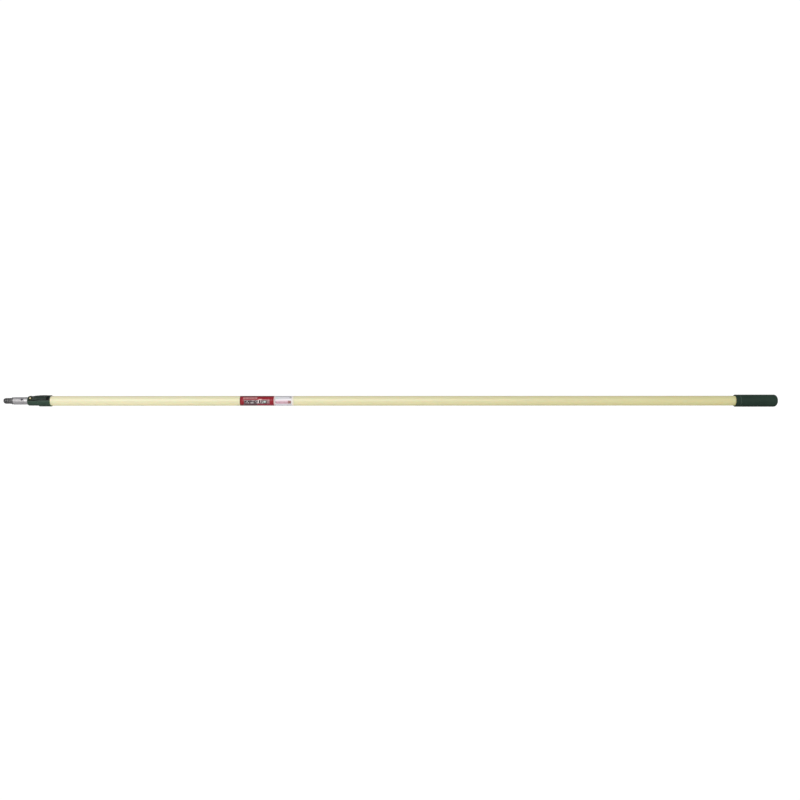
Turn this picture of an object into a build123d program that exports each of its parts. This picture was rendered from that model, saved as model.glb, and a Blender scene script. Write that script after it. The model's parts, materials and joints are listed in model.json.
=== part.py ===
from build123d import *
import os
from math import cos, radians, sin

# Telescopic roller extension pole, collapsed to eight feet.
# Millimetres. The pole lies along X, the threaded tip at -X, the release lever on top (+Z).
# The origin is on the pole's axis, at the shoulder that a roller frame's handle screws down to.

INCH = 25.4

# overall
POLE_LENGTH = 96 * INCH
THREAD_LENGTH = 25.5                      # from the shoulder to the free end
GRIP_END = POLE_LENGTH - THREAD_LENGTH

# painter's pole thread, 3/4 inch with 5 turns to the inch, on a plain pilot
PITCH = INCH / 5
CREST_R = 9.2
ROOT_R = 7.0
PILOT_R = 9.3
PILOT_LENGTH = 4.5
FLANGE_R = 11.1
FLANGE_END = 5.7

# inner tube and what sits on its ends
INNER_R = 11.85
INNER_WALL = 1.5
INNER_BORE = INNER_R - INNER_WALL
INNER_START = 40.8
INNER_END = 2360.0
HOLE_STEP = 6 * INCH
HOLE_COUNT = 15
HOLE_R = 3.25
TRAVEL = HOLE_STEP * (HOLE_COUNT - 1)
GROOVE_WIDTH = 4.0
GROOVE_DEPTH = 0.6
SHANK_R = 9.9
SHANK_BORE = 7.6
SHANK_END = 38.5
FERRULE_BORE = 10.0
SPIGOT_END = 62.0
FERRULE_RIVET_X = 45.8
FERRULE_RIVET_ANGLES = (64.0, 244.0)       # above the horizontal, on the -Y side
BUTTON_X = 34.1
BUTTON_R = 2.9
BUTTON_TOP = 12.75
BUTTON_ANGLE = 23.0                       # above the horizontal, on the -Y side
REAR_BUSH_START = 2330.0
REAR_BUSH_END = 2366.0
REAR_BUSH_R = 13.0
REAR_PIN_X = 2345.0
O_RING_X = 2354.0

# outer tube
OUTER_R = 15.5
OUTER_BORE = 13.2
OUTER_START = 93.0
OUTER_END = 2402.0

# lock housing
NOSE_START = 52.1
NOSE_R = 15.1
COLLAR_START = 86.6
COLLAR_END = 124.1
COLLAR_R = 17.8
LIP_R = 17.9
COLLAR_FLAT = 17.6                        # narrow flat under the collar, where its rivets sit
HOUSING_BORE = 12.25
WIPER_SEAT_R = 13.1
WIPER_DEPTH = 1.6
POCKET_START = 55.8
POCKET_END = 122.3
POCKET_Z = (0.0, 1.6)                     # the lever's pocket is cut above these heights
POCKET_STEP = 91.6
TUNNEL_R = 13.3
GASKET_R = 16.3
GASKET_START = 95.5
GASKET_END = 121.2
CHEEK_Y = 12.9
BRIDGE_END = 64.6
PIVOT_HOLE_Y = 10.5
COLLAR_RIVET_X = (101.5, 115.5)

# lever, its pivot, and the sprung stud that it carries
PIVOT_X = 63.5
PIVOT_Z = 8.8
PIVOT_R = 1.8
EAR_R = 7.1
EAR_Y = 13.1
EAR_THICKNESS = 2.0
WASHER_R = 6.4
WASHER_THICKNESS = 0.8
RIVET_HEAD_R = 2.6
LEVER_Z = (2.1, 3.9)                      # height of the lever's lower edge, in front and behind
LEVER_RISE_X = (76.0, 84.0)               # where that edge climbs
LEVER_WEB_START = 66.0
LEVER_BORE = 13.8
LEVER_PAD_START = 87.2
LEVER_PAD_R = 17.95
LEVER_STEP = 91.0
LEVER_RIB_X = [96.0 + 3.0 * n for n in range(5)]
TAIL_BORE = 16.55
TAIL_END = 113.4
TAB_END = 121.6
TAB_R = 17.85
TAB_WIDTH = 16.0
STUD_X = 84.0
STUD_R = 2.6
STUD_BOTTOM = 12.0
LEAF_Z = 14.0
LEAF_THICKNESS = 0.5
LEAF_WIDTH = 8.0
LEAF_START = 72.0
LEAF_END = 86.6
LEAF_RIVET_X = 74.0
RIVET_SEAT_Z = 15.9
RETURN_Z = 14.55
RETURN_START = 56.8
RETURN_END = 70.5
RETURN_WIDTH = 6.4
RETURN_SCREW_X = 60.3

# guide bush that lines the outer tube's mouth and stops the inner tube
BUSH_START = 93.6
BUSH_END = REAR_BUSH_START - TRAVEL - 0.5
BUSH_BORE = 12.05

# label
LABEL_THICKNESS = 0.12
LABEL_GAP = 0.02
LABEL_RED = (720.6, 829.8)
LABEL_WHITE = (830.0, 889.2)

# grip and end plug
GRIP_START = 2279.6
GRIP_R = 19.1
GRIP_DOME = 11.0
GRIP_GROOVE_X = 2293.0
GRIP_GROOVE_WIDTH = 2.0
GRIP_GROOVE_DEPTH = 0.7
PLUG_START = 2378.0
BUMPER_START = 2370.0


def turned(outline):
    """Solid turned about the pole's axis from (x, radius) corners."""
    return revolve(Plane.XZ * make_face(Polyline(*outline, close=True)), Axis.X)


def ring(x0, x1, r_in, r_out):
    """Plain ring, or a disc when r_in is 0."""
    return turned([(x0, r_in), (x0, r_out), (x1, r_out), (x1, r_in)])


def block(x0, x1, y0, y1, z0, z1):
    """Box between two corners."""
    return Pos((x0 + x1) / 2, (y0 + y1) / 2, (z0 + z1) / 2) * Box(x1 - x0, y1 - y0, z1 - z0)


def above(shape, heights):
    """What of a shape lies above a line that climbs once, in step with the lever's lower edge."""
    box = shape.bounding_box()
    x0, x1, top = box.min.X - 1, box.max.X + 1, box.max.Z + 1
    front, back = heights
    corners = Polyline((x0, front), (LEVER_RISE_X[0], front), (LEVER_RISE_X[1], back), (x1, back),
                       (x1, top), (x0, top), close=True)
    return shape & extrude(make_face(Plane.XZ * corners), box.max.Y + 1, both=True)


def cylinder_z(x, radius, z0, z1):
    """Upright cylinder on the pole's centre plane."""
    return Pos(x, 0, (z0 + z1) / 2) * Cylinder(radius, z1 - z0)


def cylinder_y(x, z, radius, y0, y1):
    """Cylinder across the pole."""
    return Pos(x, (y0 + y1) / 2, z) * Rot(90, 0, 0) * Cylinder(radius, y1 - y0)


def both_sides(shape):
    """A piece and its mirror image on the pole's other side, as two solids."""
    return Compound([shape, mirror(shape, Plane.XZ)])


def radial(shape, angle):
    """Turns a piece made pointing up so that it points at an angle above the -Y horizontal."""
    return Rot(90 - angle, 0, 0) * shape


# the threaded tip

def thread_ridge():
    """One turn after another of the trapezoidal thread, sunk a little into its core."""
    start = -THREAD_LENGTH - PITCH
    length = THREAD_LENGTH - PILOT_LENGTH + PITCH + 2
    sink = 0.3
    crest, flank = 0.37 * PITCH, 0.26 * (CREST_R - ROOT_R)
    base = crest + 2 * flank
    helix = Helix(PITCH, length, ROOT_R - sink)
    tooth = Polyline(
        (ROOT_R - sink, 0, -base / 2),
        (CREST_R, 0, -crest / 2),
        (CREST_R, 0, crest / 2),
        (ROOT_R - sink, 0, base / 2),
        close=True,
    )
    ridge = sweep(make_face(tooth), path=helix, is_frenet=True)
    return Pos(start, 0, 0) * Rot(0, 90, 0) * ridge


def threaded_tip():
    nose = 5.0
    clear = 0.3
    envelope = turned([
        (-THREAD_LENGTH, 0), (-THREAD_LENGTH, ROOT_R - 0.5), (-THREAD_LENGTH + 0.8, ROOT_R + 0.3),
        (-THREAD_LENGTH + nose, CREST_R + clear),
        (-PILOT_LENGTH + 1, CREST_R + clear), (-PILOT_LENGTH + 1, 0),
    ])
    core = ring(-THREAD_LENGTH, 0, 0, ROOT_R)
    screw = (core + thread_ridge()) & envelope
    edge = 0.5
    body = turned([
        (-PILOT_LENGTH - 0.6, 0), (-PILOT_LENGTH - 0.6, PILOT_R - 0.6), (-PILOT_LENGTH, PILOT_R),
        (0, PILOT_R), (0, FLANGE_R - edge), (edge, FLANGE_R), (FLANGE_END - edge, FLANGE_R),
        (FLANGE_END, FLANGE_R - edge), (FLANGE_END, SHANK_R), (SHANK_END - 1, SHANK_R),
        (SHANK_END, SHANK_R - 1), (SHANK_END, 0),
    ])
    bore = turned([(9.5, 0), (12.5, SHANK_BORE), (SHANK_END + 1, SHANK_BORE), (SHANK_END + 1, 0)])
    socket = ring(-THREAD_LENGTH - 1, -THREAD_LENGTH + 5, 0, 3.2)
    button_hole = radial(cylinder_z(BUTTON_X, BUTTON_R + 0.15, 0, SHANK_R + 1), BUTTON_ANGLE)
    return screw + body - bore - socket - button_hole


def tip_ferrule():
    edge = 0.6
    body = turned([
        (FLANGE_END, FERRULE_BORE), (FLANGE_END, INNER_R - edge), (FLANGE_END + edge, INNER_R),
        (INNER_START - edge, INNER_R), (INNER_START, INNER_R - edge), (INNER_START, INNER_BORE - 0.05),
        (SPIGOT_END - 1, INNER_BORE - 0.05), (SPIGOT_END, INNER_BORE - 1), (SPIGOT_END, 8.6),
        (SHANK_END + 0.5, 8.6), (SHANK_END + 0.5, FERRULE_BORE),
    ])
    button_hole = radial(cylinder_z(BUTTON_X, BUTTON_R + 0.2, 0, INNER_R + 1), BUTTON_ANGLE)
    countersink = radial(
        Pos(BUTTON_X, 0, INNER_R - 0.3) * Cone(BUTTON_R, BUTTON_R + 1.4, 1.6), BUTTON_ANGLE)
    return body - button_hole - countersink - ferrule_rivet_holes()


def ferrule_rivet_head():
    return Pos(FERRULE_RIVET_X, 0, INNER_R - 0.4) * Cone(1.3, 2.1, 0.8)


def ferrule_rivet_holes():
    hole = cylinder_z(FERRULE_RIVET_X, 1.3, 8, INNER_R + 1)
    return [radial(hole, angle) for angle in FERRULE_RIVET_ANGLES]


def ferrule_rivets():
    """Two countersunk rivets, opposite each other, through the inner tube into the ferrule's spigot."""
    rivet = cylinder_z(FERRULE_RIVET_X, 1.3, 9.0, INNER_R - 0.7) + ferrule_rivet_head()
    return Compound([radial(rivet, angle) for angle in FERRULE_RIVET_ANGLES])


def tip_button():
    stem = cylinder_z(BUTTON_X, BUTTON_R, 7.2, BUTTON_TOP)
    stem = fillet(stem.edges().group_by(Axis.Z)[-1], 1.0)
    foot = cylinder_z(BUTTON_X, 3.9, 6.4, 7.2) & ring(0, 60, 0, SHANK_BORE - 0.15)
    return radial(stem + foot, BUTTON_ANGLE)


def tip_button_spring():
    """Bent strip: one leg under the button, the other along the far wall of the shank's bore."""
    strip, width = 0.5, 5.0
    low, high = -5.9, 6.4
    bend_x, end_x = 16.0, 37.6
    path = [
        (end_x, high), (27.5, high), (bend_x, 1.6), (bend_x - 1.6, 0), (bend_x, -1.6),
        (22.0, low), (end_x, low),
    ]
    inner = [(end_x, high - strip), (27.5, high - strip), (bend_x + 0.2, 1.6 - strip),
             (bend_x - 1.1, 0), (bend_x + 0.2, -1.6 + strip), (22.0, low + strip), (end_x, low + strip)]
    face = make_face(Plane.XZ * Polyline(*path, *reversed(inner), close=True))
    return radial(extrude(face, width / 2, both=True), BUTTON_ANGLE)


# the inner tube

def lock_holes():
    """One hole every six inches, the first of them under the stud."""
    return [cylinder_z(STUD_X + HOLE_STEP * n, HOLE_R, 0, INNER_R + 1) for n in range(HOLE_COUNT)]


def inner_tube():
    tube = ring(INNER_START, INNER_END, INNER_BORE, INNER_R)
    groove = block(INNER_START - 1, INNER_END + 1, -GROOVE_WIDTH / 2, GROOVE_WIDTH / 2,
                   -INNER_R - 1, -INNER_R + GROOVE_DEPTH)
    sinks = [radial(ferrule_rivet_head(), angle) for angle in FERRULE_RIVET_ANGLES]
    pin_hole = cylinder_z(REAR_PIN_X, 1.6, INNER_BORE - 2, INNER_R + 1)
    return tube - groove - lock_holes() - ferrule_rivet_holes() - sinks - pin_hole


def rear_bush():
    """Cup over the inner tube's rear end, which slides in the outer tube."""
    edge = 0.8
    cup = turned([
        (REAR_BUSH_START, INNER_R + 0.03), (REAR_BUSH_START, REAR_BUSH_R - edge),
        (REAR_BUSH_START + edge, REAR_BUSH_R), (REAR_BUSH_END - edge, REAR_BUSH_R),
        (REAR_BUSH_END, REAR_BUSH_R - edge), (REAR_BUSH_END, 4.0), (INNER_END + 0.05, 4.0),
        (INNER_END + 0.05, INNER_R + 0.03),
    ])
    seat = ring(O_RING_X - 1.25, O_RING_X + 1.25, REAR_BUSH_R - 0.7, REAR_BUSH_R + 1)
    pin_hole = cylinder_z(REAR_PIN_X, 1.6, INNER_R - 1, REAR_BUSH_R + 1)
    return cup - seat - pin_hole


def rear_o_ring():
    """Ring in the rear bush's groove that keeps the collapsed pole from rattling."""
    return ring(O_RING_X - 1.2, O_RING_X + 1.2, REAR_BUSH_R - 0.7, REAR_BUSH_R + 0.1)


def rear_bush_pin():
    return cylinder_z(REAR_PIN_X, 1.6, INNER_BORE - 1, REAR_BUSH_R - 0.2)


# the lock housing

def pocket():
    """Room for the lever: the sides of the nose, and everything over the tunnel and the gasket."""
    big = 30
    cheeks = block(POCKET_START, BRIDGE_END, CHEEK_Y, big, POCKET_Z[0], big)
    nose = ring(BRIDGE_END, POCKET_STEP, TUNNEL_R, big)
    collar = ring(POCKET_STEP, POCKET_END, GASKET_R, big)
    return [cheeks, mirror(cheeks, Plane.XZ), above(nose, POCKET_Z), above(collar, POCKET_Z)]


def lock_housing():
    edge = 1.5
    bevel = 0.7
    body = turned([
        (NOSE_START, HOUSING_BORE), (NOSE_START, NOSE_R - edge), (NOSE_START + 0.45, NOSE_R - 0.55),
        (NOSE_START + edge, NOSE_R), (COLLAR_START - 1.2, NOSE_R), (COLLAR_START, COLLAR_R - bevel),
        (COLLAR_START + bevel, COLLAR_R), (COLLAR_END - 4.3, COLLAR_R), (COLLAR_END - 4.0, LIP_R),
        (COLLAR_END - 1.0, LIP_R), (COLLAR_END - 0.3, LIP_R - 0.5), (COLLAR_END, LIP_R - 1.2),
        (COLLAR_END, OUTER_R + 0.6), (COLLAR_END - 0.6, OUTER_R), (GASKET_END, OUTER_R), (GASKET_END, GASKET_R),
        (GASKET_START, GASKET_R), (GASKET_START, OUTER_R), (OUTER_START, OUTER_R),
        (OUTER_START, HOUSING_BORE),
    ])
    body -= ring(NOSE_START - 1, NOSE_START + WIPER_DEPTH, 0, WIPER_SEAT_R)
    body -= pocket()
    body -= both_sides(cylinder_y(PIVOT_X, PIVOT_Z, PIVOT_R, PIVOT_HOLE_Y, 20))
    leaf_slot = block(RETURN_START - 0.3, BRIDGE_END + 1, -RETURN_WIDTH / 2 - 0.3,
                      RETURN_WIDTH / 2 + 0.3, RETURN_Z, NOSE_R + 1)
    window = block(LEAF_START - 1, LEAF_END + 1.4, -LEAF_WIDTH / 2 - 0.8, LEAF_WIDTH / 2 + 0.8,
                   9.0, TUNNEL_R + 2)
    screw_hole = cylinder_z(RETURN_SCREW_X, 1.1, 11.0, RETURN_Z + 1)
    rivet_holes = [cylinder_z(x, 1.6, -COLLAR_R - 1, -OUTER_BORE) for x in COLLAR_RIVET_X]
    sinks = [collar_rivet_head(x) for x in COLLAR_RIVET_X]
    body -= block(COLLAR_START - 1, COLLAR_END + 1, -5, 5, -COLLAR_R - 1, -COLLAR_FLAT)
    return body - leaf_slot - window - screw_hole - rivet_holes - sinks


def collar_rivet_head(x):
    return Pos(x, 0, -COLLAR_FLAT + 0.55) * Cone(3.0, 1.6, 1.1)


def collar_rivets():
    """Two countersunk rivets through the collar, the gasket and the outer tube."""
    return Compound([
        cylinder_z(x, 1.6, -COLLAR_R + 1.0, -OUTER_BORE - 0.05) + collar_rivet_head(x)
        for x in COLLAR_RIVET_X
    ])


def tube_gasket():
    """Black rubber sleeve that beds the outer tube in the collar, seen behind the lever."""
    sleeve = ring(GASKET_START, GASKET_END, OUTER_R, GASKET_R)
    return sleeve - [cylinder_z(x, 1.6, -GASKET_R - 1, -OUTER_R + 1) for x in COLLAR_RIVET_X]


def front_wiper():
    """Lipped rubber ring in the housing's mouth."""
    x0, x1 = NOSE_START + 0.2, NOSE_START + WIPER_DEPTH
    return turned([(x0, WIPER_SEAT_R - 0.4), (x0 + 0.4, WIPER_SEAT_R), (x1, WIPER_SEAT_R),
                   (x1, INNER_R + 0.5), (x0 + 0.6, INNER_R + 0.15), (x0, INNER_R + 0.15)])


def guide_bush():
    """Acetal lining of the outer tube's mouth, with a key in the inner tube's groove."""
    lining = ring(BUSH_START, BUSH_END, BUSH_BORE, OUTER_BORE - 0.05)
    key = block(BUSH_START + 6, BUSH_END - 6, -GROOVE_WIDTH / 2 + 0.3, GROOVE_WIDTH / 2 - 0.3,
                -BUSH_BORE - 0.4, -INNER_R + GROOVE_DEPTH - 0.2)
    return lining + key


# the lever

def lever_ear():
    """Arm and pivot ear on the -Y side."""
    disc = cylinder_y(PIVOT_X, PIVOT_Z, EAR_R, -EAR_Y - EAR_THICKNESS, -EAR_Y)
    arm_end = LEVER_RISE_X[1]
    lean = radians(58)
    arm = Polyline(
        (PIVOT_X, LEVER_Z[0]), (LEVER_RISE_X[0], LEVER_Z[0]), (arm_end, LEVER_Z[1]), (arm_end, 7.0),
        (PIVOT_X + EAR_R * cos(lean), PIVOT_Z + EAR_R * sin(lean)), (PIVOT_X, PIVOT_Z), close=True)
    face = Pos(0, -EAR_Y, 0) * make_face(Plane.XZ * arm)
    return disc + extrude(face, amount=EAR_THICKNESS)


def lock_lever():
    edge = 0.6
    web = turned([
        (LEVER_WEB_START, LEVER_BORE), (LEVER_WEB_START, 15.4), (LEVER_WEB_START + 0.5, 15.9),
        (70.0, 15.95), (74.0, 16.5), (78.5, 17.1), (LEVER_PAD_START - 0.9, 17.3),
        (LEVER_PAD_START, LEVER_PAD_R), (TAIL_END - edge, LEVER_PAD_R),
        (TAIL_END, LEVER_PAD_R - edge), (TAIL_END, TAIL_BORE), (LEVER_STEP, TAIL_BORE),
        (LEVER_STEP, LEVER_BORE),
    ])
    web = above(web, LEVER_Z)
    tab = turned([(TAIL_END - 1, TAIL_BORE), (TAIL_END - 1, TAB_R), (TAB_END - edge, TAB_R),
                  (TAB_END, TAB_R - edge), (TAB_END, TAIL_BORE)])
    tab &= block(TAIL_END - 1, TAB_END, -TAB_WIDTH / 2, TAB_WIDTH / 2, 10, 20)
    ear = lever_ear()
    lever = web + tab + ear + mirror(ear, Plane.XZ)
    lever -= ring(LEVER_WEB_START - 12, LEVER_STEP, 0, LEVER_BORE)
    half = LEAF_WIDTH / 2 + 0.4
    lever -= block(LEAF_START - 0.6, LEAF_END + 1, -half, half, 0, LEAF_Z + LEAF_THICKNESS + 0.4)
    lever -= cylinder_z(STUD_X, 2.8, 0, LEAF_Z + LEAF_THICKNESS + 1.0)
    half = RETURN_WIDTH / 2 + 0.3
    lever -= block(LEVER_WEB_START - 1, RETURN_END + 0.2, -half, half, RETURN_Z - 0.1, 20)
    lever -= cylinder_z(LEAF_RIVET_X, 1.1, 10, 20) + cylinder_z(LEAF_RIVET_X, 2.2, RIVET_SEAT_Z, 20)
    lever -= cylinder_y(PIVOT_X, PIVOT_Z, PIVOT_R + 0.07, -20, 20)
    lever -= both_sides(cylinder_y(PIVOT_X, PIVOT_Z, WASHER_R + 0.3, EAR_Y + EAR_THICKNESS, 20))
    ribs = [ring(x, x + 1.3, LEVER_PAD_R - 0.5, LEVER_PAD_R + 0.25) for x in LEVER_RIB_X]
    strip = block(TAIL_END - 20, TAIL_END, -7.5, 7.5, 10, 20)
    return lever + [rib & strip for rib in ribs]


def pivot_washers():
    inner = EAR_Y + EAR_THICKNESS + 0.1
    plate = cylinder_y(PIVOT_X, PIVOT_Z, WASHER_R, inner, inner + WASHER_THICKNESS)
    plate = chamfer(plate.edges().group_by(Axis.Y)[-1], 0.3)
    return both_sides(plate - cylinder_y(PIVOT_X, PIVOT_Z, PIVOT_R + 0.02, 0, 30))


def pivot_rivets():
    """Stub pivots: they stop short of the inner tube."""
    face = EAR_Y + EAR_THICKNESS + 0.1 + WASHER_THICKNESS
    shank = cylinder_y(PIVOT_X, PIVOT_Z, PIVOT_R, PIVOT_HOLE_Y + 0.1, face)
    head = cylinder_y(PIVOT_X, PIVOT_Z, RIVET_HEAD_R, face, face + 1.3)
    head = fillet(head.edges().group_by(Axis.Y)[-1], 1.0)
    return both_sides(shank + head)


def lock_spring():
    """Leaf under the lever, with the lock stud riveted through its free end."""
    half = LEAF_WIDTH / 2
    top = LEAF_Z + LEAF_THICKNESS
    leaf = block(LEAF_START, LEAF_END, -half, half, LEAF_Z, top)
    leaf = fillet(leaf.edges().filter_by(Axis.Z), 2.0)
    leaf -= cylinder_z(STUD_X, 1.5, 0, 20) + cylinder_z(LEAF_RIVET_X, 1.4, 0, 20)
    stud = cylinder_z(STUD_X, STUD_R, STUD_BOTTOM, LEAF_Z)
    stud = chamfer(stud.edges().group_by(Axis.Z)[0], 0.5)
    stud += cylinder_z(STUD_X, 1.5, LEAF_Z, top)
    stud += cylinder_z(STUD_X, 2.2, top, top + 0.4)
    return Compound([leaf, stud])


def spring_rivet():
    """Rivet that hangs the leaf under the lever, with a little play for the leaf to tip."""
    head = cylinder_z(LEAF_RIVET_X, 2.1, RIVET_SEAT_Z, RIVET_SEAT_Z + 0.9)
    head = fillet(head.edges().group_by(Axis.Z)[-1], 0.5)
    foot = cylinder_z(LEAF_RIVET_X, 1.9, LEAF_Z - 0.85, LEAF_Z - 0.4)
    return head + cylinder_z(LEAF_RIVET_X, 1.1, LEAF_Z - 0.85, RIVET_SEAT_Z) + foot


def return_spring():
    """Strip on the housing's bridge whose free end presses the lever shut."""
    half = RETURN_WIDTH / 2
    strip = block(RETURN_START, RETURN_END, -half, half, RETURN_Z, RETURN_Z + LEAF_THICKNESS)
    strip = fillet(strip.edges().filter_by(Axis.Z), 1.2)
    return strip - cylinder_z(RETURN_SCREW_X, 1.15, 0, 20)


def return_screw():
    top = RETURN_Z + LEAF_THICKNESS
    head = cylinder_z(RETURN_SCREW_X, 2.2, top, top + 1.0)
    head = chamfer(head.edges().group_by(Axis.Z)[-1], 0.25)
    slot = block(RETURN_SCREW_X - 3, RETURN_SCREW_X + 3, -0.3, 0.3, top + 0.5, top + 2)
    return head + cylinder_z(RETURN_SCREW_X, 1.1, HOUSING_BORE + 0.05, top) - slot


# the outer tube, its labels and its grip

def outer_tube():
    tube = ring(OUTER_START, OUTER_END, OUTER_BORE, OUTER_R)
    rivet_holes = [cylinder_z(x, 1.6, -OUTER_R - 1, -OUTER_BORE + 1) for x in COLLAR_RIVET_X]
    return tube - rivet_holes


def label(span):
    return ring(*span, OUTER_R + LABEL_GAP, OUTER_R + LABEL_GAP + LABEL_THICKNESS)


def end_plug():
    """Ribbed plug that closes the outer tube's rear end."""
    plug = ring(PLUG_START, OUTER_END, 0, OUTER_BORE - 0.6)
    ribs = [ring(PLUG_START + 2 + 5 * n, PLUG_START + 4.5 + 5 * n, 0, OUTER_BORE - 0.02) for n in range(4)]
    cap = ring(OUTER_END, OUTER_END + 1.6, 0, OUTER_R - 0.4)
    hollow = ring(PLUG_START - 1, OUTER_END - 3, 0, OUTER_BORE - 3.2)
    return plug + ribs + cap - hollow


def end_bumper():
    """Foam disc that the collapsing inner tube lands on."""
    return ring(BUMPER_START, PLUG_START, 0, OUTER_BORE - 0.1)


def end_grip():
    """Vinyl sleeve with a domed end."""
    lip = 1.2
    skirt = OUTER_R + 0.02
    hollow_end = OUTER_END + 1.7
    dome_start = GRIP_END - GRIP_DOME
    groove_end = GRIP_GROOVE_X + GRIP_GROOVE_WIDTH
    sleeve = Polyline(
        (GRIP_END, 0), (hollow_end, 0), (hollow_end, skirt), (GRIP_START + 0.8, skirt),
        (GRIP_START, skirt + 0.8), (GRIP_START, GRIP_R - lip), (GRIP_START + lip, GRIP_R),
        (GRIP_GROOVE_X, GRIP_R), (GRIP_GROOVE_X + 0.5, GRIP_R - GRIP_GROOVE_DEPTH),
        (groove_end - 0.5, GRIP_R - GRIP_GROOVE_DEPTH), (groove_end, GRIP_R), (dome_start, GRIP_R),
    )
    dome = Spline((dome_start, GRIP_R), (GRIP_END, 0), tangents=[(1, 0), (0, -1)])
    return revolve(Plane.XZ * make_face([*sleeve.edges(), dome]), Axis.X)


PIECES = {
    "threaded_tip": threaded_tip,
    "tip_ferrule": tip_ferrule,
    "ferrule_rivets": ferrule_rivets,
    "tip_button": tip_button,
    "tip_button_spring": tip_button_spring,
    "inner_tube": inner_tube,
    "rear_bush": rear_bush,
    "rear_o_ring": rear_o_ring,
    "rear_bush_pin": rear_bush_pin,
    "lock_housing": lock_housing,
    "front_wiper": front_wiper,
    "guide_bush": guide_bush,
    "tube_gasket": tube_gasket,
    "collar_rivets": collar_rivets,
    "lock_lever": lock_lever,
    "pivot_washers": pivot_washers,
    "pivot_rivets": pivot_rivets,
    "lock_spring": lock_spring,
    "spring_rivet": spring_rivet,
    "return_spring": return_spring,
    "return_screw": return_screw,
    "outer_tube": outer_tube,
    "red_label": lambda: label(LABEL_RED),
    "white_label": lambda: label(LABEL_WHITE),
    "end_plug": end_plug,
    "end_bumper": end_bumper,
    "end_grip": end_grip,
}

os.makedirs("parts", exist_ok=True)
for name, make in PIECES.items():
    export_step(make(), f"parts/{name}.step")
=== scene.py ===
import bpy
import bmesh
import json
import math
from mathutils import Matrix, Vector


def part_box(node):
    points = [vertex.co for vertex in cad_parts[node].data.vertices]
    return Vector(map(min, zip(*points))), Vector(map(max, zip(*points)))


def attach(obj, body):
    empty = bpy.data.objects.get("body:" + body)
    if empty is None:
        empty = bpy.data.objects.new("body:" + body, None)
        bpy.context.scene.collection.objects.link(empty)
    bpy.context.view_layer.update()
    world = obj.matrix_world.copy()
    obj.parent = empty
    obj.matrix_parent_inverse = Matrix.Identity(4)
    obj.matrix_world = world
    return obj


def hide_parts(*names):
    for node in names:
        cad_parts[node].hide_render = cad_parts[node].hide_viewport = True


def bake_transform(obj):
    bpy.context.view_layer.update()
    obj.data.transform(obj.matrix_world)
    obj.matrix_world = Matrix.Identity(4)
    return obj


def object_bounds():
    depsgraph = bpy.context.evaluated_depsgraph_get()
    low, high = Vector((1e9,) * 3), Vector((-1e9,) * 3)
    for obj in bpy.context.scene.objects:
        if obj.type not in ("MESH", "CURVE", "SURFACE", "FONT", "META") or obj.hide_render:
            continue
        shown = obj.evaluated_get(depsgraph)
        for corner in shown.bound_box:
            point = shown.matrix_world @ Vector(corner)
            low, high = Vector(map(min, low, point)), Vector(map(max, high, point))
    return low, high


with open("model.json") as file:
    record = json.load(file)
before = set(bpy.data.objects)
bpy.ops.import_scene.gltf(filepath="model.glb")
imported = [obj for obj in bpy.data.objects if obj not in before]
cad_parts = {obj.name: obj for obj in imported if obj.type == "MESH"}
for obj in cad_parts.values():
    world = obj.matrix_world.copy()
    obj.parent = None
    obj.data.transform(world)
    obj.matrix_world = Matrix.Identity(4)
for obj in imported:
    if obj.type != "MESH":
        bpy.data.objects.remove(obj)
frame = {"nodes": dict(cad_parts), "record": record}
cad_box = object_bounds()
NODES = frame["nodes"]
MM = 0.001


# ---------------------------------------------------------------- camera, light, floor

CENTRE_X = 1.2238                          # the camera stands in front of this place on the pole
DISTANCE = 2.502
EYE_HEIGHT = 0.0024                        # above the pole's axis
LENS = 35.65                               # focal length in mm on a 36 mm sensor
ROLL = 0.02                                # degrees
SEES_AS_FAR_AS = 200.0

cam_data = bpy.data.cameras.new("camera")
cam_data.lens = LENS
cam_data.sensor_width = 36.0
cam_data.clip_end = SEES_AS_FAR_AS
camera = bpy.data.objects.new("camera", cam_data)
camera.location = (CENTRE_X, -DISTANCE, EYE_HEIGHT)
camera.rotation_euler = (math.radians(90), math.radians(ROLL), 0)
bpy.context.scene.collection.objects.link(camera)
bpy.context.scene.camera = camera
bpy.context.scene.view_settings.view_transform = "Standard"
bpy.context.scene.view_settings.look = "None"


def soft_key(name, azimuth, elevation, strength, spread, gloss, colour):
    """Soft light from one side: azimuth 0 shines along +Y, elevation is the height it comes from, spread
    is how wide the source looks, all in degrees; gloss is its share in reflections."""
    data = bpy.data.lights.new(name, "SUN")
    data.energy = strength
    data.angle = math.radians(spread)
    data.specular_factor = gloss
    data.color = colour
    lamp = bpy.data.objects.new(name, data)
    a, e = math.radians(azimuth), math.radians(elevation)
    source = Vector((math.sin(a) * math.cos(e), -math.cos(a) * math.cos(e), math.sin(e)))
    lamp.location = source * 4
    lamp.rotation_euler = source.to_track_quat("Z", "Y").to_euler()
    bpy.context.scene.collection.objects.link(lamp)


# ---------------------------------------------------------------- material nodes

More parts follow.
